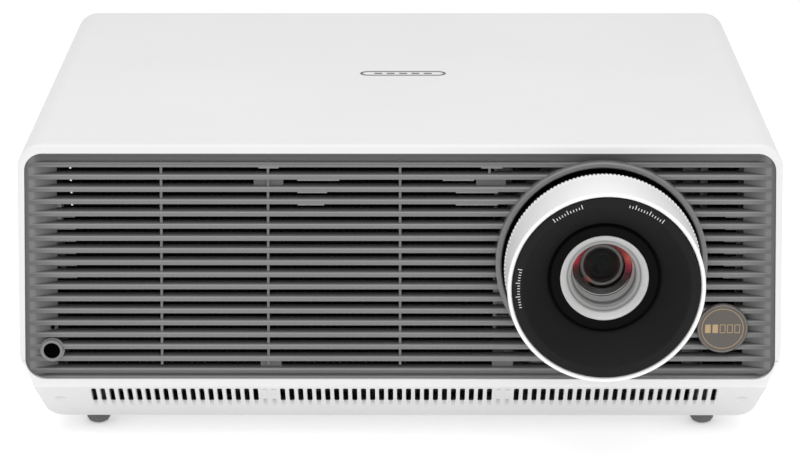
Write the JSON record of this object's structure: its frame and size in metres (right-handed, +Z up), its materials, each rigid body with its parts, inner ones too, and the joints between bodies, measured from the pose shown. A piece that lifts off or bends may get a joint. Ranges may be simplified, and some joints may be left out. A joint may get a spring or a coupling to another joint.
{
  "type": "home projector",
  "caption": "Wide white laser projector with a grey louvred front, a large lens ring, a vented chin and screw feet.",
  "frame": {"origin": "on the desk, under the centre of the box around the whole object", "axes": "+Z up, the front with the lens faces -Y, +X is to the right seen from the front view"},
  "size_m": [0.3746, 0.33, 0.1551],
  "materials": {
    "white_case": "fine satin moulded plastic",
    "grille_grey": "satin grey moulded plastic",
    "ring_grey": "satin grey",
    "lens_white": "semi-gloss white",
    "lens_black": "fine matte black",
    "satin_silver": "satin turned aluminium",
    "optical_glass": "coated glass",
    "dark_window": "glossy infrared window",
    "foot_grey": "matte rubber",
    "rear_grey": "light grey moulded plastic",
    "badge_brown": "satin warm grey",
    "emblem_grey": "satin grey print",
    "steel": "zinc plated steel",
    "cast_metal": "die-cast aluminium",
    "dark_metal": "black anodised",
    "copper": "bare copper",
    "board_green": "solder mask",
    "fan_black": "moulded black",
    "brass_insert": "bare brass",
    "port_metal": "nickel plated"
  },
  "bodies": {
    "housing": {"top_cover": "white_case", "bottom_case": "white_case", "rear_panel": "rear_grey", "mount_inserts": "brass_insert", "housing_screws": "steel", "rear_feet": "foot_grey", "front_grille": "grille_grey", "lens_escutcheon": "ring_grey", "ir_bezel": "ring_grey", "front_windows": "dark_window", "round_badge": "badge_brown", "top_emblem": "emblem_grey", "shift_frame": "cast_metal", "guide_rod_vertical": "steel", "shift_motor_vertical": "steel", "engine_housing": "cast_metal", "engine_lid": "cast_metal", "engine_optics": "optical_glass", "wheel_housing": "cast_metal", "wheel_motor": "dark_metal", "laser_bank": "cast_metal", "laser_heatsink": "satin_silver", "heat_pipes": "copper", "dmd_board": "board_green", "dmd_heatsink": "dark_metal", "fan_frames": "fan_black", "chassis_plate": "steel", "speakers": "fan_black", "power_supply": "board_green", "main_board": "board_green", "signal_ports": "port_metal", "ac_inlet": "fan_black"},
    "shift_carriage": {"vertical_carriage": "cast_metal", "guide_rod_horizontal": "steel", "shift_motor_horizontal": "steel"},
    "lens": {"horizontal_carriage": "dark_metal", "lens_barrel": "dark_metal", "light_seal": "lens_black", "front_dish": "lens_black", "baffle_ring": "lens_black", "lens_hood": "satin_silver", "fixed_glass": "optical_glass"},
    "focus_ring": {"focus_ring": "lens_white"},
    "focus_group": {"focus_cell": "satin_silver", "focus_glass": "optical_glass"},
    "zoom_ring": {"zoom_ring": "lens_black"},
    "zoom_group": {"zoom_cell": "dark_metal", "zoom_glass": "optical_glass"},
    "lead_screw_horizontal": {"lead_screw_horizontal": "steel"},
    "lead_screw_vertical": {"lead_screw_vertical": "steel"},
    "phosphor_wheel": {"phosphor_wheel": "satin_silver"},
    "fan_impeller_left": {"fan_impeller_left": "fan_black"},
    "fan_impeller_right": {"fan_impeller_right": "fan_black"},
    "front_foot_left": {"front_foot_pad_left": "foot_grey"},
    "front_foot_right": {"front_foot_pad_right": "foot_grey"},
    "foot_stud_left": {"front_foot_stud_left": "foot_grey"},
    "foot_stud_right": {"front_foot_stud_right": "foot_grey"},
    "stick_yoke": {"stick_yoke": "fan_black"},
    "stick_guide": {"stick_guide": "fan_black"},
    "stick_cap": {"stick_cap": "fan_black"}
  },
  "joints": [
    {"name": "lens_shift_vertical", "type": "slide", "parent": "housing", "child": "shift_carriage", "axis": [0, 0, 1], "range_m": [-0.0029, 0.0029]},
    {"name": "lens_shift_horizontal", "type": "slide", "parent": "shift_carriage", "child": "lens", "axis": [1, 0, 0], "range_m": [-0.0021, 0.0021]},
    {"name": "vertical_screw_turn", "type": "hinge", "parent": "housing", "child": "lead_screw_vertical", "pos_m": [0.032, -0.0925, 0.0954], "axis": [0, 0, 1], "range_deg": [-526, 526]},
    {"name": "horizontal_screw_turn", "type": "hinge", "parent": "shift_carriage", "child": "lead_screw_horizontal", "pos_m": [0.098, -0.0845, 0.0544], "axis": [1, 0, 0], "range_deg": [-382, 382]},
    {"name": "focus_turn", "type": "hinge", "parent": "lens", "child": "focus_ring", "pos_m": [0.098, -0.145, 0.0954], "axis": [0, -1, 0], "range_deg": [-60.3, 60.3]},
    {"name": "focus_group_travel", "type": "slide", "parent": "lens", "child": "focus_group", "axis": [0, -1, 0], "range_m": [-0.0014, 0.0014]},
    {"name": "zoom_turn", "type": "hinge", "parent": "lens", "child": "zoom_ring", "pos_m": [0.098, -0.122, 0.0954], "axis": [0, -1, 0], "range_deg": [-35.3, 35.3]},
    {"name": "zoom_group_travel", "type": "slide", "parent": "lens", "child": "zoom_group", "axis": [0, -1, 0], "range_m": [-0.007, 0.007]},
    {"name": "phosphor_wheel_spin", "type": "hinge", "parent": "housing", "child": "phosphor_wheel", "pos_m": [-0.072, 0.013, 0.092], "axis": [1, 0, 0], "continuous": true},
    {"name": "fan_left_spin", "type": "hinge", "parent": "housing", "child": "fan_impeller_left", "pos_m": [-0.131, -0.093, 0.096], "axis": [0, -1, 0], "continuous": true},
    {"name": "fan_right_spin", "type": "hinge", "parent": "housing", "child": "fan_impeller_right", "pos_m": [-0.037, -0.093, 0.096], "axis": [0, -1, 0], "continuous": true},
    {"name": "front_foot_left_height", "type": "slide", "parent": "housing", "child": "front_foot_left", "axis": [0, 0, -1], "range_m": [0, 0.012]},
    {"name": "front_foot_left_turn", "type": "hinge", "parent": "front_foot_left", "child": "foot_stud_left", "pos_m": [-0.153, -0.089, 0.006], "axis": [0, 0, -1], "range_deg": [-4, 2884]},
    {"name": "front_foot_right_height", "type": "slide", "parent": "housing", "child": "front_foot_right", "axis": [0, 0, -1], "range_m": [0, 0.012]},
    {"name": "front_foot_right_turn", "type": "hinge", "parent": "front_foot_right", "child": "foot_stud_right", "pos_m": [0.153, -0.089, 0.006], "axis": [0, 0, -1], "range_deg": [-4, 2884]},
    {"name": "stick_tilt_up", "type": "hinge", "parent": "housing", "child": "stick_yoke", "pos_m": [0.128, 0.149, 0.112], "axis": [1, 0, 0], "range_deg": [-5, 5], "stiffness_Nm_per_rad": 0.05},
    {"name": "stick_tilt_side", "type": "hinge", "parent": "stick_yoke", "child": "stick_guide", "pos_m": [0.128, 0.149, 0.112], "axis": [0, 0, 1], "range_deg": [-5, 5], "stiffness_Nm_per_rad": 0.05},
    {"name": "stick_press", "type": "slide", "parent": "stick_guide", "child": "stick_cap", "axis": [0, -1, 0], "range_m": [0, 0.0006], "stiffness_N_per_m": 400}
  ],
  "couplings": [
    {"joint": "vertical_screw_turn", "follows": "lens_shift_vertical", "rad_per_m": 3141.6},
    {"joint": "horizontal_screw_turn", "follows": "lens_shift_horizontal", "rad_per_m": 3141.6},
    {"joint": "focus_turn", "follows": "focus_group_travel", "rad_per_m": 748},
    {"joint": "zoom_turn", "follows": "zoom_group_travel", "rad_per_m": 87.266},
    {"joint": "front_foot_left_turn", "follows": "front_foot_left_height", "rad_per_m": 4188.8},
    {"joint": "front_foot_right_turn", "follows": "front_foot_right_height", "rad_per_m": 4188.8}
  ]
}
